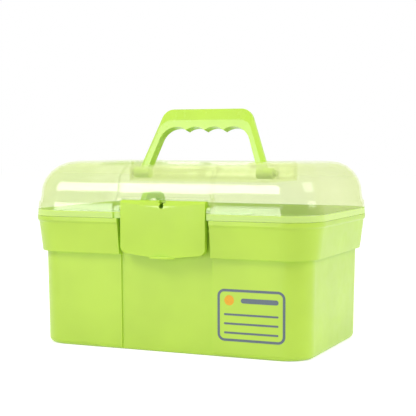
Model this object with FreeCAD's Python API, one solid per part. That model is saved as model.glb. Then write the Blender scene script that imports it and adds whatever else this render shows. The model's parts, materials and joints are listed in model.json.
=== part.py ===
import FreeCAD, Part
import math
import os

# Craft storage box: a moulded box, a clear hinged lid, a front latch, a carrying handle and a lift-out tray.
# Millimetres, +Z up. X runs along the box, the front faces -Y and z = 0 is the table under it.
# Most outlines are given by how far they lie inside the outline of the rim: their inset.

# Box
rim_length = 300.0
rim_width = 196.4
rim_height = 128.4
rim_corner = 33.6
rim_band = 4.0
rim_band_proud = 1.5
rim_flare = 2.0
collar_height = 34.8
collar_taper = 4.9
step_out = 4.5
body_taper = 0.9
base_round = 4.5
base_round_steps = 3
body_corner = 24.0
wall = 2.2
floor_thickness = 2.6
lip_height = 5.1
lip_thickness = 1.6
foot_ring = 9.0
foot_relief = 0.8

# Recess down the middle of the front, where the latch lies
recess_half = 47.7
recess_depth = 1.5
catch_drop = 11.2
catch_thickness = 2.0
catch_reach = 3.4
catch_slope = 3.0

# Lid
lid_height = 53.6
lid_wall = 2.0
skirt_height = 14.1
skirt_taper = 1.0
dome_foot_x = 2.0
dome_foot_y = 3.2
spring_rise = 19.1
spring_inset_x = 3.3
spring_inset_y = 3.4
dome_reach_x = 23.5
dome_reach_y = 34.0
dome_corner = 31.5
dome_steps = 6
lid_seat_gap = 0.2
lip_gap = 0.3
relief_depth = 2.0
relief_skirt_half = 52.0
relief_flare = 9.0
notch_gap = 0.9

# Pocket in the lid for the folded handle
pocket_half = 77.0
pocket_front = -13.0
pocket_depth = 18.5
pocket_corner = 5.0
saddle_drop = 3.4

# Hinges at the back
hinge_spacing = 150.0
hinge_stand_off = 5.2
hinge_rise = 0.6
hinge_rod = 2.6
hinge_barrel = 4.6
hinge_width = 24.0
hinge_side_gap = 0.8
ear_thickness = 4.0
ear_drop = 15.0
clip_mouth = 4.0
clip_turn = 40.0

# Latch
latch_rise = 17.6
latch_height = 54.5
latch_side_gap = 3.7
latch_corner = 7.0
latch_bulge = 4.5
latch_crown = 2.0
latch_wall = 2.0
latch_depth = 8.2
latch_stand_off = 5.9
latch_roll = 7.2
hook_gap = 0.3
hook_thickness = 3.0
keyhole_radius = 2.4
keyhole_neck = 3.4
keyhole_slot = 7.4
keyhole_lead = 2.2
keyhole_depth = 7.4
thumb_width = 26.0
thumb_reach = 2.6
thumb_height = 5.0

# Carrying handle
handle_rise = 65.4
handle_lean = 12.0
handle_thickness = 11.0
grip_half = 46.7
grip_depth = 19.0
grip_corner = 13.8
leg_slope = 0.385
leg_width = 9.3
leg_spread = 0.025
bevel_depth = 3.4
bevel_grip = 12.0
bevel_leg = 4.4
scallop_pitch = 20.7
scallop_depth = 3.6
scallop_count = 4
foot_radius = 5.5
foot_length = 17.0
pivot_set_back = 12.0
handle_end_gap = 0.9
handle_back_gap = 1.6
handle_floor_gap = 1.0

# Tray
tray_length = 163.5
tray_height = 30.0
tray_wall = 1.7
tray_gap = 1.4
tray_draft = 0.8
tray_corner = 6.0
tray_rim = 1.4
tray_rim_height = 2.4
divider_place = 84.5
divider_drop = 5.5
cross_place = 60.0
cross_drop = 13.0
loop_half = 25.0
loop_rise = 24.5
loop_bar = 7.0
loop_thickness = 6.0
loop_root = 15.0
loop_corner = 15.0
loop_hole_corner = 10.8
loop_foot_corner = 3.0
loop_sill = 1.5

# Pivots
pivot_radius = 3.0
latch_pivot = 2.0
running_gap = 0.08
stub_length = 2.6
boss_wall = 2.2

# How far a cutting shape reaches past what it cuts
tiny = 0.01
over = 1.0
far = 20.0
half_length = rim_length / 2
half_width = rim_width / 2
step_height = rim_height - collar_height
step_inset = collar_taper + step_out
base_inset = step_inset + body_taper
lip_inset = lid_wall + lip_gap
mouth_inset = lip_inset + lip_thickness
skirt_bottom = rim_height + lid_seat_gap
ledge_height = rim_height + skirt_height
lid_top = rim_height + lid_height
saddle_height = lid_top - saddle_drop
pocket_floor = lid_top - pocket_depth
handle_pivot_z = pocket_floor + handle_floor_gap + foot_radius
handle_pivot_y = pocket_front + pivot_set_back
pocket_back = handle_pivot_y + handle_rise + handle_back_gap
hinge_y = half_width + hinge_stand_off
hinge_z = rim_height + hinge_rise
latch_half = recess_half - latch_side_gap
latch_y = -half_width + latch_stand_off
latch_top = rim_height + latch_rise
latch_z = latch_top - latch_roll
latch_front = latch_y - latch_roll
latch_bottom = latch_top - latch_height
notch_half = latch_half + notch_gap
catch_height = rim_height - catch_drop
spring_height = rim_height + spring_rise


def point(x, y, z):
    return FreeCAD.Vector(x, y, z)


def level(z):
    return lambda a, b: point(a, b, z)


def upright(y):
    return lambda a, b: point(a, y, b)


def sideways(x):
    return lambda a, b: point(x, a, b)


def arc(place, start, mid, end):
    return Part.Arc(place(*start), place(*mid), place(*end)).toShape()


def line(place, start, end):
    return Part.LineSegment(place(*start), place(*end)).toShape()


def toward(start, end):
    length = math.dist(start, end)
    return ((end[0] - start[0]) / length, (end[1] - start[1]) / length)


def outline(corners, place):
    # A closed wire through corners given as (a, b, radius), each rounded by a tangent arc
    arcs = []
    for i, (a, b, radius) in enumerate(corners):
        back = toward((a, b), corners[i - 1][:2])
        ahead = toward((a, b), corners[(i + 1) % len(corners)][:2])
        half = math.acos(back[0] * ahead[0] + back[1] * ahead[1]) / 2
        reach = radius / math.tan(half)
        middle = (radius / math.sin(half) - radius) / (2 * math.cos(half))
        start = (a + back[0] * reach, b + back[1] * reach)
        mid = (a + (back[0] + ahead[0]) * middle, b + (back[1] + ahead[1]) * middle)
        end = (a + ahead[0] * reach, b + ahead[1] * reach)
        arcs.append((start, mid, end))
    edges = []
    for i, (start, mid, end) in enumerate(arcs):
        following = arcs[(i + 1) % len(arcs)][0]
        if math.dist(start, end) > tiny:
            edges.append(arc(place, start, mid, end))
        if math.dist(end, following) > tiny:
            edges.append(line(place, end, following))
    return Part.Wire(edges)


def prism(wire, direction):
    return Part.Face(wire).extrude(direction)


def ring_outline(inset_x, inset_y, z, corner):
    a = half_length - inset_x
    b = half_width - inset_y
    corner = min(corner, b - over)
    return outline([(a, -b, corner), (a, b, corner), (-a, b, corner), (-a, -b, corner)], level(z))


def stack(corner, levels):
    # A solid through outlines given as (inset, z), with one corner radius all the way up
    wires = [ring_outline(inset, inset, z, corner) for inset, z in levels]
    return Part.makeLoft(wires, True, True)


def concentric_stack(levels):
    # The same, with corners that stay concentric with the rim's
    wires = [ring_outline(inset, inset, z, rim_corner - inset) for inset, z in levels]
    return Part.makeLoft(wires, True, True)


def slab(x_low, x_high, y_low, y_high, z_low, z_high):
    return Part.makeBox(x_high - x_low, y_high - y_low, z_high - z_low, point(x_low, y_low, z_low))


def rod(radius, x_low, x_high, y, z):
    return Part.makeCylinder(radius, x_high - x_low, point(x_low, y, z), point(1, 0, 0))


def mirrored(shape):
    return shape.mirror(point(0, 0, 0), point(1, 0, 0))


def both_sides(shape):
    return [shape, mirrored(shape)]


def front_recess(grown, z_low, z_high):
    # What the latch's recess takes from the front, up the body and through the collar
    rise = body_taper / step_height
    core = stack(body_corner, [
        (base_inset + recess_depth + grown - rise * z_low, z_low - over),
        (base_inset + recess_depth + grown - rise * z_high, z_high + over),
    ])
    side = recess_half + grown
    return slab(-side, side, -rim_width, -rim_width / 4, z_low - over / 2, z_high + over / 2).cut(core)


def recess_face(z):
    return -half_width + base_inset + recess_depth - body_taper / step_height * z


def rounded_foot(inset, z, radius):
    # Levels up a quarter round between the underside and the wall
    turns = [math.pi / 2 * i / base_round_steps for i in range(base_round_steps + 1)]
    return [(inset + radius * (1 - math.sin(t)), z + radius * (1 - math.cos(t))) for t in turns]


def box_outside():
    lower = stack(body_corner, rounded_foot(base_inset, 0, base_round) + [(step_inset, step_height)])
    band_height = rim_height - rim_band
    collar = concentric_stack([
        (collar_taper, step_height),
        (rim_band_proud, band_height - rim_flare),
        (0, band_height),
        (0, rim_height),
    ])
    return lower.fuse(collar)


def box_lip():
    # Stands inside the lid's skirt and leans in with it, with a gap at the front for the latch's notch
    lean = skirt_taper / skirt_height * lip_height
    lip = stack(rim_corner - lip_inset, [(lip_inset, rim_height - over), (lip_inset + lean, rim_height + lip_height)])
    side = relief_skirt_half + lid_wall + lip_gap
    return lip.cut(slab(-side, side, -rim_width, -rim_width / 4, 0, lid_top))


def box_cavity():
    above = rim_height + lip_height + over
    lower = stack(body_corner - wall, [
        (base_inset + wall + base_round, floor_thickness),
        (base_inset + wall, floor_thickness + base_round),
        (step_inset + wall, step_height + wall),
    ])
    collar = stack(rim_corner - mouth_inset, [
        (collar_taper + wall, step_height + wall),
        (mouth_inset, rim_height - rim_band),
        (mouth_inset, above),
    ])
    return lower.fuse(collar).cut(front_recess(wall, 0, above))


def catch_ridge():
    # The rib that the latch hooks under, flat below and sloping above
    root = recess_face(catch_height) + wall / 2
    tip = recess_face(catch_height) - catch_reach
    profile = outline([
        (root, catch_height, 0),
        (tip, catch_height, 0),
        (tip, catch_height + catch_thickness, 0),
        (root, catch_height + catch_thickness + catch_slope, 0),
    ], sideways(-recess_half))
    return prism(profile, point(2 * recess_half, 0, 0))


def hinge_ears():
    # Two ears and the rod between them, moulded on the back of the collar
    root = half_width - mouth_inset
    half = hinge_width / 2 + hinge_side_gap
    ears = []
    for x in (hinge_spacing / 2 - half - ear_thickness, hinge_spacing / 2 + half):
        ear = outline([
            (root, hinge_z - ear_drop, 0),
            (hinge_y + hinge_barrel, hinge_z, 0),
            (hinge_y + hinge_barrel, hinge_z + hinge_barrel, hinge_barrel),
            (hinge_y - hinge_barrel, hinge_z + hinge_barrel, hinge_barrel),
            (hinge_y - hinge_barrel, rim_height, 0),
            (root, rim_height, 0),
        ], sideways(x))
        ears.append(prism(ear, point(ear_thickness, 0, 0)))
    x_low = hinge_spacing / 2 - half - ear_thickness / 2
    x_high = hinge_spacing / 2 + half + ear_thickness / 2
    ears.append(rod(hinge_rod, x_low, x_high, hinge_y, hinge_z))
    return ears[0].multiFuse(ears[1:])


def base_box():
    outside = box_outside().cut(front_recess(0, 0, rim_height)).fuse(box_lip())
    relief = stack(body_corner - foot_ring, [(base_inset + foot_ring, -over), (base_inset + foot_ring, foot_relief)])
    body = outside.cut(box_cavity()).cut(relief)
    return body.multiFuse([catch_ridge()] + both_sides(hinge_ears())).removeSplitter()


def dome(inside):
    # The lid before the cuts, moved in by a distance all over: a skirt, a steep wall and a domed top
    low = ledge_height - inside
    rise = lid_top - inside - spring_height
    lean = skirt_taper / skirt_height
    skirt = stack(rim_corner - inside, [
        (inside - lean * far, rim_height - far),
        (inside + lean * (low - rim_height), low),
    ])
    corner = dome_corner - inside
    foot = ring_outline(dome_foot_x + inside, dome_foot_y + inside, low - tiny, corner)
    rings = []
    for i in range(dome_steps + 1):
        turn = math.pi / 2 * i / dome_steps
        along = math.cos(turn)
        rings.append(ring_outline(
            spring_inset_x + dome_reach_x * (1 - along) + inside * along,
            spring_inset_y + dome_reach_y * (1 - along) + inside * along,
            spring_height + rise * math.sin(turn),
            corner,
        ))
    side_wall = Part.makeLoft([foot, rings[0]], True, True)
    top = Part.makeLoft(rings, True, True)
    return skirt.multiFuse([side_wall, top])


def lid_form(inside):
    # The dome with the front relief, the latch's notch, the saddle and the pocket taken out
    side = recess_half + inside
    skirt_side = relief_skirt_half + inside
    flare_top = ledge_height + relief_flare
    front = prism(outline([
        (-skirt_side, rim_height - far / 2, 0),
        (skirt_side, rim_height - far / 2, 0),
        (skirt_side, ledge_height, 0),
        (side, flare_top, 0),
        (side, lid_top + over, 0),
        (-side, lid_top + over, 0),
        (-side, flare_top, 0),
        (-skirt_side, ledge_height, 0),
    ], upright(-rim_width)), point(0, rim_width + pocket_front - inside, 0))
    relief = front.cut(dome(inside + relief_depth))
    side = notch_half + inside
    notch_back = latch_y + latch_roll + notch_gap + inside
    notch = slab(-side, side, -rim_width, notch_back, rim_height - far / 2, latch_top + notch_gap + inside)
    reach = pocket_half + inside
    saddle = slab(-reach, reach, -half_width, pocket_front, saddle_height - inside, lid_top + over)
    corner = pocket_corner + inside
    y_low = pocket_front - inside
    y_high = pocket_back + inside
    pocket = prism(outline([
        (reach, y_low, corner),
        (reach, y_high, corner),
        (-reach, y_high, corner),
        (-reach, y_low, corner),
    ], level(pocket_floor - inside)), point(0, 0, pocket_depth + inside + over))
    return dome(inside).cut(relief.multiFuse([notch, saddle, pocket]))


def pivot_boss(x, radius, y, z):
    # A blind bearing behind a wall: the boss and the hole that is cut through to it
    boss = rod(radius + boss_wall, x + lid_wall / 2, x + stub_length + boss_wall / 2, y, z)
    hole = rod(radius + running_gap, x - tiny, x + stub_length + running_gap, y, z)
    return boss, hole


def lid_clip():
    # A barrel open at its lower back, which snaps over the hinge rod, on an arm from the skirt
    x_low = (hinge_spacing - hinge_width) / 2
    arm_low = hinge_z + hinge_rod / 4
    arm = slab(x_low, x_low + hinge_width, half_width - lid_wall / 2, hinge_y, arm_low, hinge_z + hinge_barrel)
    barrel = rod(hinge_barrel, x_low, x_low + hinge_width, hinge_y, hinge_z)
    bore = rod(hinge_rod + running_gap, x_low - over, x_low + hinge_width + over, hinge_y, hinge_z)
    half = clip_mouth / 2
    mouth = slab(x_low - over, x_low + hinge_width + over, -half, half, -2 * hinge_barrel, 0)
    mouth.rotate(point(0, 0, 0), point(1, 0, 0), clip_turn)
    mouth.translate(point(0, hinge_y, hinge_z))
    return arm.fuse(barrel).cut(bore.fuse(mouth))


def clear_lid():
    below = slab(-rim_length, rim_length, -rim_width, rim_width, 0, skirt_bottom)
    outside = lid_form(0)
    shell = outside.cut(lid_form(lid_wall)).cut(below)
    handle_boss, handle_hole = pivot_boss(pocket_half, pivot_radius, handle_pivot_y, handle_pivot_z)
    latch_boss, latch_hole = pivot_boss(notch_half, latch_pivot, latch_y, latch_z)
    latch_boss = latch_boss.common(outside)
    added = both_sides(handle_boss) + both_sides(latch_boss) + both_sides(lid_clip())
    holes = both_sides(handle_hole) + both_sides(latch_hole)
    lid = shell.multiFuse(added).cut(holes[0].multiFuse(holes[1:]))
    return lid.removeSplitter()


def latch_form(inside, back):
    # Side profile with a rolled top, across a slightly crowned front with a bulged lower edge
    half = latch_half - inside
    front = latch_front + inside
    roll = latch_roll - inside
    low = latch_bottom - latch_bulge
    flat = prism(outline([
        (front, low, 0),
        (back, low, 0),
        (back, latch_z, 0),
        (front, latch_z, 0),
    ], sideways(-half)), point(2 * half, 0, 0))
    side = flat.fuse(rod(roll, -half, half, latch_y, latch_z))
    corner = max(latch_corner - inside, over)
    bottom = latch_bottom + latch_bulge + inside
    shield = prism(outline([
        (-half, latch_top + over, 0),
        (-half, bottom, corner),
        (0, bottom - latch_bulge, 4 * latch_half),
        (half, bottom, corner),
        (half, latch_top + over, 0),
    ], upright(-rim_width)), point(0, rim_width, 0))
    radius = (latch_half ** 2 + latch_crown ** 2) / (2 * latch_crown)
    axis_foot = point(0, latch_front + radius, latch_bottom - far)
    crown = Part.makeCylinder(radius - inside, latch_height + 2 * far, axis_foot)
    return side.common(shield).common(crown)


def thumb_lip():
    # A crescent under the middle of the latch that the thumb pulls
    low = latch_bottom
    lip = Part.makeCylinder(thumb_width, latch_wall, point(0, latch_front + thumb_width - thumb_reach, low))
    half = thumb_width / 2
    keep = slab(-half, half, -rim_width, latch_front + latch_wall, low - over, low + thumb_height)
    return lip.common(keep)


def latch_hook():
    # Runs across the inside and reaches under the catch ridge
    tip = recess_face(catch_height) - catch_reach - hook_gap
    top = catch_height - hook_gap
    half = latch_half - latch_wall / 2
    front = latch_front + latch_crown + latch_wall / 2
    return slab(-half, half, front, tip, top - hook_thickness, top)


def keyhole():
    # A round eye with a short neck up into a wider slot in the rolled top
    eye_z = latch_top - keyhole_depth + keyhole_radius
    start = point(0, -rim_width, eye_z)
    eye = Part.makeCylinder(keyhole_radius, rim_width + latch_y, start, point(0, 1, 0))
    half = keyhole_neck / 2
    neck = slab(-half, half, -rim_width, latch_y, eye_z, latch_top + over)
    half = keyhole_slot / 2
    slot = slab(-half, half, -rim_width, latch_y, latch_top - keyhole_lead, latch_top + over)
    return eye.multiFuse([neck, slot])


def front_latch():
    shell = latch_form(0, latch_front + latch_depth).cut(latch_form(latch_wall, 0))
    stub = rod(latch_pivot, latch_half - latch_wall / 2, notch_half + stub_length, latch_y, latch_z)
    added = [thumb_lip(), latch_hook()] + both_sides(stub)
    return shell.cut(keyhole()).multiFuse(added).removeSplitter()


def handle_outline(inset_top, inset_side, y):
    # Upright over its pivot: a bar on two splayed legs
    top = handle_rise - inset_top
    top_half = grip_half - inset_side
    foot_half = top_half + leg_slope * handle_rise
    return outline([
        (-foot_half, 0, 0),
        (-top_half - leg_slope * inset_top, top, grip_corner),
        (top_half + leg_slope * inset_top, top, grip_corner),
        (foot_half, 0, 0),
    ], upright(y))


def handle_opening():
    # The hand hole: its sides sweep round into the outer two of a row of finger scallops
    place = upright(-handle_thickness)
    crest = handle_rise - grip_depth
    radius = ((scallop_pitch / 2) ** 2 + scallop_depth ** 2) / (2 * scallop_depth)
    outermost = (scallop_count - 1) / 2 * scallop_pitch

    def under(x, centre):
        return (x, crest - radius + math.sqrt(radius ** 2 - (x - centre) ** 2))

    slope = leg_slope - leg_spread
    corner = grip_half + leg_slope * grip_depth - leg_width
    turn = math.pi / 2 - math.atan(slope)
    sweep = (corner - outermost) / math.tan(turn / 2)
    right = [(outermost + sweep * math.sin(t), crest - sweep * (1 - math.cos(t))) for t in (0, turn / 2, turn)]
    right.append((corner + slope * (crest + far), -far))
    left = [(-a, b) for a, b in right]
    edges = [
        arc(place, *right[:3]),
        line(place, right[2], right[3]),
        line(place, right[3], left[3]),
        line(place, left[3], left[2]),
        arc(place, left[2], left[1], left[0]),
    ]
    for i in range(scallop_count):
        centre = i * scallop_pitch - outermost
        start = max(centre - scallop_pitch / 2, -outermost)
        end = min(centre + scallop_pitch / 2, outermost)
        edges.append(arc(place, under(start, centre), under((start + end) / 2, centre), under(end, centre)))
    return prism(Part.Wire(edges), point(0, 2 * handle_thickness, 0))


def carry_handle():
    half = handle_thickness / 2
    wires = [
        handle_outline(bevel_grip, bevel_leg, -half),
        handle_outline(0, 0, -half + bevel_depth),
        handle_outline(0, 0, half - bevel_depth),
        handle_outline(bevel_grip, bevel_leg, half),
    ]
    block = Part.makeLoft(wires, True, True).cut(handle_opening())
    end = pocket_half - handle_end_gap
    trim = slab(end, rim_length, -handle_thickness, handle_thickness, -far, handle_rise)
    block = block.cut(trim.fuse(mirrored(trim)))
    foot = rod(foot_radius, end - foot_length, end, 0, 0)
    stub = rod(pivot_radius, end - over, pocket_half + stub_length, 0, 0)
    handle = block.multiFuse(both_sides(foot) + both_sides(stub)).removeSplitter()
    handle.translate(point(0, handle_pivot_y, handle_pivot_z))
    handle.rotate(point(0, handle_pivot_y, handle_pivot_z), point(1, 0, 0), -handle_lean)
    return handle


def tray_outline(grown, rounding, z):
    # Follows the collar's inside on three sides and steps in at the front, where the recess narrows the box
    inset = collar_taper + wall + tray_gap - grown
    left = -half_length + inset
    right = left + tray_length - 2 * tray_gap + 2 * grown
    back = half_width - inset
    room = tray_gap / 2 + tray_draft + tray_rim
    step_x = -recess_half - wall - room + grown
    step_y = recess_face(step_height) + wall + room - grown
    corner = rim_corner - mouth_inset - tray_gap + rounding
    small = tray_corner + rounding
    return outline([
        (left, -back, corner),
        (step_x, -back, 0),
        (step_x, step_y, small / 3),
        (right, step_y, small),
        (right, back, small),
        (left, back, corner),
    ], level(z))


def tray_loop(x):
    # A finger loop that stands on the divider
    base = tray_bottom() + tray_height
    high = base + loop_rise
    start = x - loop_thickness / 2
    body = prism(outline([
        (-loop_half, base - loop_root, 0),
        (loop_half, base - loop_root, 0),
        (loop_half, high, loop_corner),
        (-loop_half, high, loop_corner),
    ], sideways(start)), point(loop_thickness, 0, 0))
    inner = loop_half - loop_bar
    sill = base - divider_drop + loop_sill
    hole = prism(outline([
        (-inner, sill, loop_foot_corner),
        (inner, sill, loop_foot_corner),
        (inner, high - loop_bar, loop_hole_corner),
        (-inner, high - loop_bar, loop_hole_corner),
    ], sideways(start - over)), point(loop_thickness + 2 * over, 0, 0))
    return body.cut(hole)


def tray_bottom():
    return step_height + wall


def lift_out_tray():
    bottom = tray_bottom()
    top = bottom + tray_height
    outer = Part.makeLoft([tray_outline(0, 0, bottom), tray_outline(tray_draft, 0, top)], True, True)
    proud = tray_draft + tray_rim
    rim = prism(tray_outline(proud, proud, top - tray_rim_height), point(0, 0, tray_rim_height))
    inner = Part.makeLoft([
        tray_outline(-tray_wall, -tray_wall, bottom + tray_wall),
        tray_outline(tray_draft - tray_wall, -tray_wall, top + tiny),
    ], True, True)
    shell = outer.fuse(rim).cut(inner)
    left = -half_length + collar_taper + wall + tray_gap
    x = left + divider_place
    y = -half_width + cross_place
    reach = half_width
    half = tray_wall / 2
    divider = slab(x - half, x + half, -reach, reach, bottom + half, top - divider_drop)
    cross = slab(left, x, y - half, y + half, bottom + half, top - cross_drop)
    inside = outer.common(divider.fuse(cross))
    return shell.multiFuse([inside, tray_loop(x)]).removeSplitter()


os.makedirs("parts", exist_ok=True)
pieces = {
    "base_box": base_box(),
    "clear_lid": clear_lid(),
    "front_latch": front_latch(),
    "carry_handle": carry_handle(),
    "lift_out_tray": lift_out_tray(),
}
for name, shape in pieces.items():
    print(name, "solids", len(shape.Solids), "valid", shape.isValid(), "volume", round(shape.Volume))
    shape.exportStep(f"parts/{name}.step")
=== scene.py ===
import bpy
import bmesh
import json
import math
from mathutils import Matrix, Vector
from mathutils.bvhtree import BVHTree


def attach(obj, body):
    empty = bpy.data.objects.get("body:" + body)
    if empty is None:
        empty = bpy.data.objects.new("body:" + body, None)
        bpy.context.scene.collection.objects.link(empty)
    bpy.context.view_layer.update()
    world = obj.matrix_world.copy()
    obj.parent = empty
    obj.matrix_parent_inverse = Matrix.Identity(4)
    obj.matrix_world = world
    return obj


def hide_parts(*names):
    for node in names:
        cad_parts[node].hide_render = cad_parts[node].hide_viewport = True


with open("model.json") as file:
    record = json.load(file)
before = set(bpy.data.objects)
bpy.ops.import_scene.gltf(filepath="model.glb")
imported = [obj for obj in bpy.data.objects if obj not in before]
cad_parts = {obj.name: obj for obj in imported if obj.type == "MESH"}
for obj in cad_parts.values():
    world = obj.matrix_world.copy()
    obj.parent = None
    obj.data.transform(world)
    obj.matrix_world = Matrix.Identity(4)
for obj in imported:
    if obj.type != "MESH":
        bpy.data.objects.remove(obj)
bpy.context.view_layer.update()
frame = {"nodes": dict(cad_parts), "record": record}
print("frame loaded:", sorted(frame["nodes"]))

mm = 0.001


def srgb(code):
    # sRGB hex to linear, with alpha 1
    parts = [int(code[i:i + 2], 16) / 255 for i in (1, 3, 5)]
    return [c / 12.92 if c <= 0.04045 else ((c + 0.055) / 1.055) ** 2.4 for c in parts] + [1.0]


def addNode(tree, kind, settings=None, inputs=None, links=None):
    # One node with its settings, input values and incoming links (input name: output socket)
    node = tree.nodes.new(kind)
    for key, value in (settings or {}).items():
        setattr(node, key, value)
    for key, value in (inputs or {}).items():
        node.inputs[key].default_value = value
    for key, socket in (links or {}).items():
        tree.links.new(socket, node.inputs[key])
    return node


def newMaterial(name):
    material = bpy.data.materials.new(name)
    material.use_nodes = True
    material.node_tree.nodes.clear()
    return material, material.node_tree


def addObject(name, mesh):
    piece = bpy.data.objects.new(name, mesh)
    bpy.context.scene.collection.objects.link(piece)
    return piece


# Injection-moulded polypropylene, tinted lime: a satin gloss with faint flow clouding and a very fine skin
mouldedPolypropylene = {
    "ior": 1.49,
    "cloudMm": 55.0,        # flow marks from the mould's gate
    "cloudRange": [0.3, 0.7],
    "cloudDepth": 0.05,
    "grainMm": 1.1,         # the real skin is near 0.1 mm, drawn coarser so that it shows
    "grainBump": 0.03,
    "grainDepthMm": 0.2,
    "scuffMm": 9.0,
    "scuffRange": [0.35, 0.75],
    "glow": 0.08,           # light that soaks into the thin wall
    "glowMm": [9.0, 12.0, 2.0],
}


def makePolypropylene(name, colour, roughness, scuffed=0.04):
    p = mouldedPolypropylene
    material, tree = newMaterial(name)
    place = addNode(tree, "ShaderNodeTexCoord")
    where = place.outputs["Object"]
    cloud = addNode(tree, "ShaderNodeTexNoise", inputs={"Scale": 1 / (p["cloudMm"] * mm), "Detail": 2.0},
                    links={"Vector": where})
    shade = addNode(tree, "ShaderNodeMapRange",
                    inputs={"From Min": p["cloudRange"][0], "From Max": p["cloudRange"][1],
                            "To Min": 1 - p["cloudDepth"], "To Max": 1 + p["cloudDepth"]},
                    links={"Value": cloud.outputs["Fac"]})
    tint = addNode(tree, "ShaderNodeHueSaturation", inputs={"Color": srgb(colour)},
                   links={"Value": shade.outputs["Result"]})
    scuff = addNode(tree, "ShaderNodeTexNoise", inputs={"Scale": 1 / (p["scuffMm"] * mm), "Detail": 4.0},
                    links={"Vector": where})
    polish = addNode(tree, "ShaderNodeMapRange",
                     inputs={"From Min": p["scuffRange"][0], "From Max": p["scuffRange"][1],
                             "To Min": roughness - scuffed, "To Max": roughness + scuffed},
                     links={"Value": scuff.outputs["Fac"]})
    grain = addNode(tree, "ShaderNodeTexNoise", inputs={"Scale": 1 / (p["grainMm"] * mm), "Detail": 2.0},
                    links={"Vector": where})
    bump = addNode(tree, "ShaderNodeBump",
                   inputs={"Strength": p["grainBump"], "Distance": p["grainDepthMm"] * mm},
                   links={"Height": grain.outputs["Fac"]})
    surface = addNode(tree, "ShaderNodeBsdfPrincipled",
                      inputs={"IOR": p["ior"], "Subsurface Weight": p["glow"],
                              "Subsurface Radius": [r * mm for r in p["glowMm"]], "Subsurface Scale": 1.0},
                      links={"Base Color": tint.outputs["Color"], "Roughness": polish.outputs["Result"],
                             "Normal": bump.outputs["Normal"]})
    addNode(tree, "ShaderNodeOutputMaterial", links={"Surface": surface.outputs["BSDF"]})
    return material


# The band at the foot of the lid's skirt is taken to be an upright lip, though it may be the base's rim seen
# through the skirt: the mesh takes the upright outline, and the material the band's deeper colour
skirtLip = {
    "topMm": 134.6,
    "footMm": 128.6,
    "stepMm": 0.1,          # half the height of the small step over the lip
    "frameLean": 0.0714,    # the frame's skirt leans back this much, and the lip is drawn upright
    "outsideMm": 98.2,      # half the skirt's width at its foot
    "wholeMm": 2.5,         # depth from the outside that moves as a whole
    "cornerMm": 31.5,       # depth over which the move fades out round the corners
}

# Clear polypropylene with a little lime in it, moulded against a polished tool: glossy outside, milky
# within, and denser to the eye where it is seen edge on and at the lip
clearPolypropylene = {
    "colour": "#F6FF9C",
    "tint": "#FCFEF4",      # what one skin of the wall leaves of the light that comes through
    "ior": 2.2,             # over the real 1.5, so that the gloss stays strong on a mostly clear wall
    "gloss": 0.85,
    "roughness": 0.06,
    "faceOn": 0.12,         # share of the light that one skin of the wall stops
    "edgeOn": 0.38,
    "edgeBlend": 0.35,
    "waveMm": 38.0,         # slow ripple of a thin moulding, which bends the highlights
    "waveBump": 0.12,
    "waveDepthMm": 1.0,
    "lipColour": "#CDF338",
    "lipDensity": 0.72,     # what the lip stops besides
    "lipFadeMm": 0.25,
}


def makeClearPolypropylene(name):
    p = clearPolypropylene
    material, tree = newMaterial(name)
    place = addNode(tree, "ShaderNodeTexCoord")
    wave = addNode(tree, "ShaderNodeTexNoise", inputs={"Scale": 1 / (p["waveMm"] * mm), "Detail": 1.0},
                   links={"Vector": place.outputs["Object"]})
    bump = addNode(tree, "ShaderNodeBump",
                   inputs={"Strength": p["waveBump"], "Distance": p["waveDepthMm"] * mm},
                   links={"Height": wave.outputs["Fac"]})
    slant = addNode(tree, "ShaderNodeLayerWeight", inputs={"Blend": p["edgeBlend"]})
    milk = addNode(tree, "ShaderNodeMapRange", inputs={"To Min": p["faceOn"], "To Max": p["edgeOn"]},
                   links={"Value": slant.outputs["Facing"]})
    height = addNode(tree, "ShaderNodeSeparateXYZ", links={"Vector": place.outputs["Object"]})
    lip = addNode(tree, "ShaderNodeMapRange",
                  inputs={"From Min": (skirtLip["topMm"] + p["lipFadeMm"]) * mm,
                          "From Max": (skirtLip["topMm"] - p["lipFadeMm"]) * mm},
                  links={"Value": height.outputs["Z"]})
    density = addNode(tree, "ShaderNodeMath", settings={"operation": "MULTIPLY_ADD"},
                      inputs={1: p["lipDensity"]},
                      links={0: lip.outputs["Result"], 2: milk.outputs["Result"]})
    colour = addNode(tree, "ShaderNodeMixRGB",
                     inputs={"Color1": srgb(p["colour"]), "Color2": srgb(p["lipColour"])},
                     links={"Fac": lip.outputs["Result"]})
    surface = addNode(tree, "ShaderNodeBsdfPrincipled",
                      inputs={"IOR": p["ior"], "Roughness": p["roughness"],
                              "Specular IOR Level": p["gloss"]},
                      links={"Base Color": colour.outputs["Color"], "Normal": bump.outputs["Normal"]})
    through = addNode(tree, "ShaderNodeBsdfTransparent", inputs={"Color": srgb(p["tint"])})
    wall = addNode(tree, "ShaderNodeMixShader",
                   links={0: density.outputs["Value"], 1: through.outputs["BSDF"],
                          2: surface.outputs["BSDF"]})
    addNode(tree, "ShaderNodeOutputMaterial", links={"Surface": wall.outputs["Shader"]})
    return material


# Pad-printed ink: flat and matt, a few hundredths of a millimetre thick, with faint specks from the pad
padInk = {
    "ior": 1.5,
    "roughness": 0.45,
    "speckMm": 1.5,
    "speckRange": [0.3, 0.7],
    "speckDepth": 0.05,
}


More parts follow.
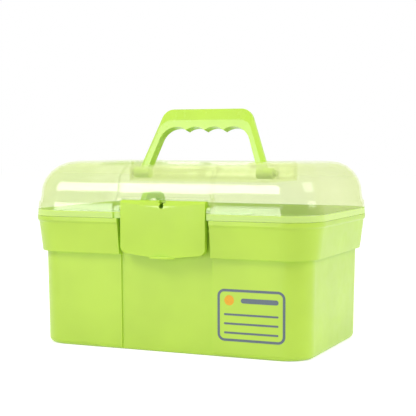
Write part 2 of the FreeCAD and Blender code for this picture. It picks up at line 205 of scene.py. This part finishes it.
def makeInk(name, colour):
    p = padInk
    material, tree = newMaterial(name)
    place = addNode(tree, "ShaderNodeTexCoord")
    speck = addNode(tree, "ShaderNodeTexNoise", inputs={"Scale": 1 / (p["speckMm"] * mm), "Detail": 3.0},
                    links={"Vector": place.outputs["Object"]})
    shade = addNode(tree, "ShaderNodeMapRange",
                    inputs={"From Min": p["speckRange"][0], "From Max": p["speckRange"][1],
                            "To Min": 1 - p["speckDepth"], "To Max": 1 + p["speckDepth"]},
                    links={"Value": speck.outputs["Fac"]})
    tint = addNode(tree, "ShaderNodeHueSaturation", inputs={"Color": srgb(colour)},
                   links={"Value": shade.outputs["Result"]})
    surface = addNode(tree, "ShaderNodeBsdfPrincipled",
                      inputs={"Roughness": p["roughness"], "IOR": p["ior"]},
                      links={"Base Color": tint.outputs["Color"]})
    addNode(tree, "ShaderNodeOutputMaterial", links={"Surface": surface.outputs["BSDF"]})
    return material


boxGreen = makePolypropylene("limePolypropyleneBox", "#BFE24A", 0.34)
latchGreen = makePolypropylene("limePolypropyleneLatch", "#BFE543", 0.22, 0.005)
handleGreen = makePolypropylene("limePolypropyleneHandle", "#C2E84A", 0.27, 0.01)
trayGreen = makePolypropylene("limePolypropyleneTray", "#AEDD3A", 0.34)
lidClear = makeClearPolypropylene("clearLimePolypropylene")
print("materials made")

# Each moulding's material, and the radius in millimetres that its edges have from the mould
finishes = {
    "base_box": (boxGreen, 0.8),
    "front_latch": (latchGreen, 0.45),
    "carry_handle": (handleGreen, 0.6),
    "lift_out_tray": (trayGreen, 0.35),
    "clear_lid": (lidClear, 0.4),
}


snapMm = 0.02               # a point nearer than this to a slice counts as on it


def sliceHeights(work, heightsMm):
    # Adds level edges across a mesh at the given heights, so that the wall there can take a finer curve
    for height in heightsMm:
        bmesh.ops.bisect_plane(work, geom=work.verts[:] + work.edges[:] + work.faces[:],
                               plane_co=(0, 0, height * mm), plane_no=(0, 0, 1), dist=snapMm * mm)


# The real dome's front stays steep for longer and then turns over faster than an ellipse does, and its back,
# which is out of sight, is taken to be alike
domeCurve = {
    "springMm": 147.5,      # where the frame's ellipse starts, and its height and reach
    "topMm": 182.0,
    "reachMm": 34.0,
    "wallMm": 94.8,         # half the width at the spring
    "facets": 6,            # flat steps from the spring to the top in the frame's dome
    "straightMm": 152.0,    # where the real curve starts
    "fullness": 2.4,
    "cornerMm": 31.5,
    "stepMm": 1.5,
    "footMm": 142.5,        # where the wall stands on the skirt's ledge
    "footLeanMm": 0.2,      # how far the frame's wall leans out there, the real one doesn't
    "footWallMm": 95.1,     # half the width there, with a tenth to spare
    "nearMm": 0.1,
}


def facetReach(z):
    # How far in the frame's wall stands at a height: straight between the rings of its quarter ellipse
    p = domeCurve
    rise = p["topMm"] - p["springMm"]
    turns = [math.pi / 2 * i / p["facets"] for i in range(p["facets"] + 1)]
    for low, high in zip(turns, turns[1:]):
        if z <= p["springMm"] + rise * math.sin(high):
            share = (z - p["springMm"] - rise * math.sin(low)) / (rise * (math.sin(high) - math.sin(low)))
            return p["reachMm"] * (1 - math.cos(low) + share * (math.cos(low) - math.cos(high)))
    return p["reachMm"]


def realReach(z):
    p = domeCurve
    share = max(0.0, (z - p["straightMm"]) / (p["topMm"] - p["straightMm"]))
    return p["reachMm"] * (1 - math.sqrt(1 - share ** p["fullness"]))


def lipShift(y, z):
    # How far out the lip's wall goes, less round the corners and nothing on the ends
    p = skirtLip
    inner = p["outsideMm"] - p["cornerMm"]
    if z >= p["topMm"] or not inner < y < p["outsideMm"] + p["stepMm"]:
        return 0.0
    return (z - p["footMm"]) * p["frameLean"] * min(1.0, (y - inner) / (p["cornerMm"] - p["wholeMm"]))


def domeShift(y, z):
    # How far out the dome's wall goes, fading over a corner's depth towards the middle of the lid
    p = domeCurve
    if abs(z - p["footMm"]) < p["nearMm"] and y < p["footWallMm"]:
        return -p["footLeanMm"]
    if z <= p["springMm"]:
        return 0.0
    drawn = facetReach(z)
    start = p["wallMm"] - drawn - p["cornerMm"]
    return (drawn - realReach(z)) * min(1.0, max(0.0, (y - start) / p["cornerMm"]))


def refineLid(work):
    # Gives the lid's front wall the outline above, and the back wall the same one mirrored
    p = domeCurve
    count = round((p["topMm"] - p["springMm"]) / p["stepMm"])
    sliceHeights(work, [p["springMm"] + (i + 0.5) * p["stepMm"] for i in range(count)])
    sliceHeights(work, [skirtLip["topMm"] - skirtLip["stepMm"], skirtLip["topMm"] + skirtLip["stepMm"]])
    for vertex in work.verts:
        y = abs(vertex.co.y) / mm
        z = min(vertex.co.z / mm, p["topMm"])
        vertex.co.y += (lipShift(y, z) + domeShift(y, z)) * math.copysign(mm, vertex.co.y)


refinements = {"clear_lid": refineLid}

# Edges flatter than crispDegrees are part of a curve, those up to roundedDegrees stay crisp, and the rest
# get a radius
dressing = {
    "mergeMm": 0.004,
    "flatDegrees": 0.2,
    "crispDegrees": 13.0,
    "roundedDegrees": 32.0,
    "radiusSegments": 2,
}


def dressNode(node, body, material, edgeMm):
    # A merged copy of a moulding, with the small radius that its edges have from the mould
    p = dressing
    mesh = frame["nodes"][node].data.copy()
    mesh.name = node + "_dressed"
    work = bmesh.new()
    work.from_mesh(mesh)
    bmesh.ops.remove_doubles(work, verts=work.verts, dist=p["mergeMm"] * mm)
    bmesh.ops.dissolve_limit(work, angle_limit=math.radians(p["flatDegrees"]), verts=work.verts,
                             edges=work.edges)
    refine = refinements.get(node)
    if refine:
        refine(work)
    for edge in work.edges:
        if p["crispDegrees"] < math.degrees(edge.calc_face_angle(0)) < p["roundedDegrees"]:
            edge.smooth = False
    work.to_mesh(mesh)
    work.free()
    mesh.materials.clear()
    mesh.materials.append(material)
    piece = addObject(node + "_skin", mesh)
    bevel = piece.modifiers.new("edgeRadius", "BEVEL")
    bevel.width = edgeMm * mm
    bevel.segments = p["radiusSegments"]
    bevel.limit_method = "ANGLE"
    bevel.angle_limit = math.radians(p["roundedDegrees"])
    bevel.use_clamp_overlap = True
    bevel.harden_normals = False
    smooth = piece.modifiers.new("faceNormals", "WEIGHTED_NORMAL")
    smooth.keep_sharp = True
    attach(piece, body)
    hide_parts(node)


bodies = {node: body for body, nodes in frame["record"]["behaviour"]["bodies"].items() for node in nodes}
for node, (material, edgeMm) in finishes.items():
    dressNode(node, bodies[node], material, edgeMm)
    print("dressed", node)


# Printed contents label, low on the front right: a frame with ruled lines to write on and one coloured spot
printedLabel = {
    "centreMm": [86.5, 40.5],       # across and up the front
    "sizeMm": [67.0, 49.0],
    "frameLineMm": 2.4,
    "frameCornerMm": 7.0,
    "cornerSegments": 10,
    "inkMm": 0.12,                  # the real film is near 0.03 mm, drawn thicker so that it stays a solid
    "sinkMm": 0.03,                 # how deep the back of the ink lies under the skin of the box
    "weldMm": 0.002,
    "lineMm": 1.9,
    "lineGapMm": 8.6,
    "lineCount": 3,
    "lineLengthMm": 54.0,
    "linesStartMm": [86.5, 24.0],
    "endShare": 0.495,              # end radius over width, just under half so that the two arcs don't meet
    "endSegments": 9,
    "titleMm": [37.0, 4.6],
    "titlePlaceMm": [95.0, 54.5],
    "spotMm": 9.6,
    "spotPlaceMm": [64.8, 54.5],
    "grey": "#5E6B7A",
    "orange": "#F0AA00",
}


def newNodeTree(name, counts, sizes):
    # A geometry tree with a named input for each count and size, the ink as a material, and one output
    tree = bpy.data.node_groups.new(name, "GeometryNodeTree")
    for label in counts:
        tree.interface.new_socket(label, in_out="INPUT", socket_type="NodeSocketInt")
    for label in sizes:
        tree.interface.new_socket(label, in_out="INPUT", socket_type="NodeSocketFloat")
    tree.interface.new_socket("Ink", in_out="INPUT", socket_type="NodeSocketMaterial")
    tree.interface.new_socket("Geometry", in_out="OUTPUT", socket_type="NodeSocketGeometry")
    return tree, addNode(tree, "NodeGroupInput")


def printFlatShape(tree, given, flat, points=None):
    # Gives a flat shape the ink's thickness, copies it onto points, and ends the tree in real inked geometry
    raised = addNode(tree, "GeometryNodeExtrudeMesh", inputs={"Individual": False},
                     links={"Mesh": flat, "Offset Scale": given.outputs["Thickness"]})
    back = addNode(tree, "GeometryNodeFlipFaces", links={"Mesh": flat})
    shell = addNode(tree, "GeometryNodeJoinGeometry")
    tree.links.new(raised.outputs["Mesh"], shell.inputs["Geometry"])
    tree.links.new(back.outputs["Mesh"], shell.inputs["Geometry"])
    closed = addNode(tree, "GeometryNodeMergeByDistance", inputs={"Distance": printedLabel["weldMm"] * mm},
                     links={"Geometry": shell.outputs["Geometry"]})
    shape = closed.outputs["Geometry"]
    if points:
        copies = addNode(tree, "GeometryNodeInstanceOnPoints", links={"Points": points, "Instance": shape})
        shape = copies.outputs["Instances"]
    real = addNode(tree, "GeometryNodeRealizeInstances", links={"Geometry": shape})
    inked = addNode(tree, "GeometryNodeSetMaterial",
                    links={"Geometry": real.outputs["Geometry"], "Material": given.outputs["Ink"]})
    addNode(tree, "NodeGroupOutput", links={"Geometry": inked.outputs["Geometry"]})


def roundedShape(tree, width, height, corner, segments):
    shape = addNode(tree, "GeometryNodeCurvePrimitiveQuadrilateral",
                    links={"Width": width, "Height": height})
    rounded = addNode(tree, "GeometryNodeFilletCurve", settings={"mode": "POLY"}, inputs={"Count": segments},
                      links={"Curve": shape.outputs["Curve"], "Radius": corner})
    return rounded.outputs["Curve"]


def makeRuledLines():
    # Equal bars with rounded ends, one above the other
    tree, given = newNodeTree("ruledLines", ["Count"], ["Pitch", "Length", "Width", "Thickness"])
    step = addNode(tree, "ShaderNodeCombineXYZ", links={"Y": given.outputs["Pitch"]})
    rows = addNode(tree, "GeometryNodeMeshLine",
                   links={"Count": given.outputs["Count"], "Offset": step.outputs["Vector"]})
    end = addNode(tree, "ShaderNodeMath", settings={"operation": "MULTIPLY"},
                  inputs={1: printedLabel["endShare"]}, links={0: given.outputs["Width"]})
    bar = roundedShape(tree, given.outputs["Length"], given.outputs["Width"], end.outputs["Value"],
                       printedLabel["endSegments"])
    flat = addNode(tree, "GeometryNodeFillCurve", settings={"mode": "NGONS"}, links={"Curve": bar})
    printFlatShape(tree, given, flat.outputs["Mesh"], rows.outputs["Mesh"])
    return tree


def makeLabelFrame():
    # A closed band with rounded corners: the inner shape is a hole in the outer one
    tree, given = newNodeTree("labelFrame", [], ["Width", "Height", "Line", "Corner", "Thickness"])
    both = addNode(tree, "GeometryNodeJoinGeometry")
    for linesIn in (0, 1):
        sizes = []
        for label, sides in (("Width", 2), ("Height", 2), ("Corner", 1)):
            size = addNode(tree, "ShaderNodeMath", settings={"operation": "MULTIPLY_ADD"},
                           inputs={1: -sides * linesIn},
                           links={0: given.outputs["Line"], 2: given.outputs[label]})
            sizes.append(size.outputs["Value"])
        outline = roundedShape(tree, *sizes, printedLabel["cornerSegments"])
        tree.links.new(outline, both.inputs["Geometry"])
    flat = addNode(tree, "GeometryNodeFillCurve", settings={"mode": "TRIANGLES"},
                   links={"Curve": both.outputs["Geometry"]})
    printFlatShape(tree, given, flat.outputs["Mesh"])
    return tree


def growMesh(name, tree, inputs):
    # Runs a tree on an empty mesh and hands back the plain mesh that it makes
    carrier = addObject(name, bpy.data.meshes.new(name))
    grow = carrier.modifiers.new(name, "NODES")
    grow.node_group = tree
    sockets = {item.name: item.identifier for item in tree.interface.items_tree if item.in_out == "INPUT"}
    for label, value in inputs.items():
        grow[sockets[label]] = value
    depsgraph = bpy.context.evaluated_depsgraph_get()
    mesh = bpy.data.meshes.new_from_object(carrier.evaluated_get(depsgraph), depsgraph=depsgraph)
    bpy.data.objects.remove(carrier)
    return mesh


def layOnFront(name, drawn):
    # Carries flat artwork onto the box's front wall, which leans out a little, as one piece of ink
    box = frame["nodes"]["base_box"].data
    wall = BVHTree.FromPolygons([v.co for v in box.vertices], [face.vertices for face in box.polygons])
    ahead = Vector((0, 1, 0))
    work = bmesh.new()
    for mesh, (across, up) in drawn:
        first = len(work.verts)
        work.from_mesh(mesh)
        work.verts.ensure_lookup_table()
        for vertex in work.verts[first:]:
            x = across * mm + vertex.co.x
            z = up * mm + vertex.co.y
            skin = wall.ray_cast(Vector((x, -1, z)), ahead)[0].y
            vertex.co = Vector((x, skin + printedLabel["sinkMm"] * mm - vertex.co.z, z))
    bmesh.ops.recalc_face_normals(work, faces=work.faces)
    mesh = drawn[0][0].copy()
    work.to_mesh(mesh)
    work.free()
    mesh.name = name
    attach(addObject(name, mesh), "base")


def printLabel():
    p = printedLabel
    grey = makeInk("greyPadInk", p["grey"])
    orange = makeInk("orangePadInk", p["orange"])
    bars = makeRuledLines()
    depth = p["inkMm"] * mm
    frameBand = growMesh("labelFrame", makeLabelFrame(), {
        "Width": p["sizeMm"][0] * mm, "Height": p["sizeMm"][1] * mm, "Line": p["frameLineMm"] * mm,
        "Corner": p["frameCornerMm"] * mm, "Thickness": depth, "Ink": grey})
    lines = growMesh("ruledLines", bars, {
        "Count": p["lineCount"], "Pitch": p["lineGapMm"] * mm, "Length": p["lineLengthMm"] * mm,
        "Width": p["lineMm"] * mm, "Thickness": depth, "Ink": grey})
    title = growMesh("titleBar", bars, {
        "Count": 1, "Length": p["titleMm"][0] * mm, "Width": p["titleMm"][1] * mm, "Thickness": depth,
        "Ink": grey})
    spot = growMesh("colourSpot", bars, {
        "Count": 1, "Length": p["spotMm"] * mm, "Width": p["spotMm"] * mm, "Thickness": depth,
        "Ink": orange})
    inGrey = [(frameBand, p["centreMm"]), (lines, p["linesStartMm"]), (title, p["titlePlaceMm"])]
    layOnFront("label_lines", inGrey)
    layOnFront("label_spot", [(spot, p["spotPlaceMm"])])
    print("label printed")


printLabel()


# Studio: a white floor that runs out of sight, soft boxes at the front left, right and top, and soft light
# all round
studio = {
    "floorSize": 12.0,
    "floorColour": "#F4F4F2",
    "floorGlow": 0.55,      # what the camera and the gloss see besides the light on the floor
    "skyLight": 0.50,
    "skySeen": 1.0,
    "aim": (0, 0, 0.13),
    "lamps": [
        # name, width, height, radiance, turn from the front, climb, distance, all seen from the lid, then
        # what it lights: the front left box shows in the gloss alone, the fill lights the plastic there
        ("frontLeftBox", 0.95, 0.76, 7.0, -24.0, 14.5, 1.6, "gloss"),
        ("frontLeftFill", 0.70, 0.70, 7.0, -32.0, 46.0, 1.6, "body"),
        ("rightBox", 0.9, 1.2, 2.6, 95.0, 30.0, 1.6, "both"),
        ("topBox", 1.2, 1.2, 1.1, -10.0, 88.0, 1.6, "body"),
    ],
}


def isSeen(tree):
    # 1 for camera, transmission and glossy rays, 0 for those that light the object
    rays = addNode(tree, "ShaderNodeLightPath")
    seen = addNode(tree, "ShaderNodeMath", settings={"operation": "MAXIMUM"},
                   links={0: rays.outputs["Is Camera Ray"], 1: rays.outputs["Is Transmission Ray"]})
    seen = addNode(tree, "ShaderNodeMath", settings={"operation": "MAXIMUM"},
                   links={0: seen.outputs["Value"], 1: rays.outputs["Is Glossy Ray"]})
    return seen.outputs["Value"]


# Painted floor: matt and white, with the object's soft shadow on it
def layFloor():
    half = studio["floorSize"] / 2
    mesh = bpy.data.meshes.new("floor")
    corners = [(-half, -half, 0), (half, -half, 0), (half, half, 0), (-half, half, 0)]
    mesh.from_pydata(corners, [], [(0, 1, 2, 3)])
    material, tree = newMaterial("paintedFloor")
    paint = addNode(tree, "ShaderNodeBsdfDiffuse", inputs={"Color": srgb(studio["floorColour"])})
    glow = addNode(tree, "ShaderNodeEmission",
                   inputs={"Color": (1, 1, 1, 1), "Strength": studio["floorGlow"]})
    both = addNode(tree, "ShaderNodeAddShader",
                   links={0: paint.outputs["BSDF"], 1: glow.outputs["Emission"]})
    pick = addNode(tree, "ShaderNodeMixShader",
                   links={0: isSeen(tree), 1: paint.outputs["BSDF"], 2: both.outputs["Shader"]})
    addNode(tree, "ShaderNodeOutputMaterial", links={"Surface": pick.outputs["Shader"]})
    mesh.materials.append(material)
    addObject("floor", mesh)


def lightWorld():
    world = bpy.data.worlds.new("studioWorld")
    bpy.context.scene.world = world
    world.use_nodes = True
    tree = world.node_tree
    tree.nodes.clear()
    level = addNode(tree, "ShaderNodeMapRange",
                    inputs={"To Min": studio["skyLight"], "To Max": studio["skySeen"]},
                    links={"Value": isSeen(tree)})
    sky = addNode(tree, "ShaderNodeBackground", inputs={"Color": (1, 1, 1, 1)},
                  links={"Strength": level.outputs["Result"]})
    addNode(tree, "ShaderNodeOutputWorld", links={"Surface": sky.outputs["Background"]})


def placeLamps():
    for name, width, height, radiance, turn, climb, distance, lights in studio["lamps"]:
        lamp = bpy.data.lights.new(name, "AREA")
        lamp.shape = "RECTANGLE"
        lamp.size = width
        lamp.size_y = height
        lamp.energy = radiance * math.pi * width * height
        out = distance * math.cos(math.radians(climb))
        way = Vector((out * math.sin(math.radians(turn)), -out * math.cos(math.radians(turn)),
                      distance * math.sin(math.radians(climb))))
        holder = addObject(name, lamp)
        holder.location = Vector(studio["aim"]) + way
        holder.rotation_euler = (-way).to_track_quat("-Z", "Y").to_euler()
        holder.visible_diffuse = lights != "gloss"
        holder.visible_glossy = lights != "body"


layFloor()
lightWorld()
placeLamps()
print("studio built")

# Camera where the photograph was taken from, found from the box's own edges
camera = {
    "eye": (0.45491, -1.04119, 0.19767),
    "turn": 23.601,
    "tilt": 5.9125,
    "lens": 96.73,
    "sensor": 36,
    "shiftX": 0.0112,
    "shiftY": 0.1276,
}


def placeCamera():
    data = bpy.data.cameras.new("camera")
    data.lens = camera["lens"]
    data.sensor_width = camera["sensor"]
    data.shift_x = camera["shiftX"]
    data.shift_y = camera["shiftY"]
    eye = addObject("camera", data)
    eye.location = camera["eye"]
    eye.rotation_euler = (math.radians(90 - camera["tilt"]), 0, math.radians(camera["turn"]))
    bpy.context.scene.camera = eye
    print("camera placed")


placeCamera()

bpy.context.scene.view_settings.view_transform = "Standard"
